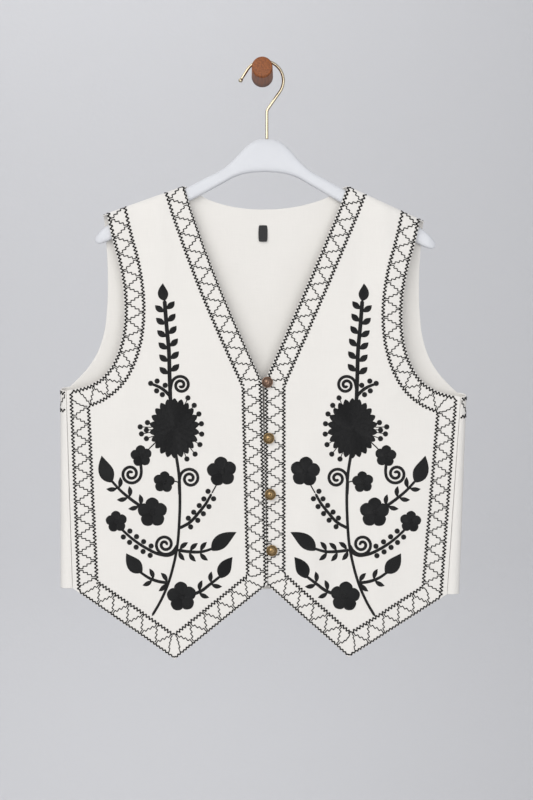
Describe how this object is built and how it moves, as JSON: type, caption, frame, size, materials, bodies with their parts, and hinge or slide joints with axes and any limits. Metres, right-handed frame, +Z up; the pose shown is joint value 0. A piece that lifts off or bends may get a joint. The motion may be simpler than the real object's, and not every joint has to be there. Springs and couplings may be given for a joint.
{
  "type": "embroidered folk vest",
  "caption": "Sleeveless V-neck folk vest with pointed front hem and padded floral embroidery, hung by a shaped hanger and wire hook on a round wall peg.",
  "frame": {"origin": "centre of the peg's flat back face, on the wall", "axes": "+X to the right of someone facing the vest, +Y into the wall, +Z up"},
  "size_m": [0.5094, 0.062, 0.7517],
  "materials": {
    "cloth": "matt plain-woven cotton, off-white",
    "thread": "black satin stitch",
    "label_cloth": "black woven tape",
    "button_metal": "antique brass, satin",
    "cord": "off-white thread",
    "hanger_paint": "white satin paint on wood",
    "hook_metal": "polished, pale gold",
    "peg_wood": "oiled, satin"
  },
  "bodies": {
    "root": {"front_left": "cloth", "front_right": "cloth", "back": "cloth", "embroidery_left": "thread", "embroidery_right": "thread", "label": "label_cloth", "button_1": "button_metal", "button_2": "button_metal", "button_3": "button_metal", "button_4": "button_metal", "loop_1": "cord", "loop_2": "cord", "loop_3": "cord", "loop_4": "cord", "hanger": "hanger_paint", "hook": "hook_metal", "wall_peg": "peg_wood"}
  },
  "joints": []
}
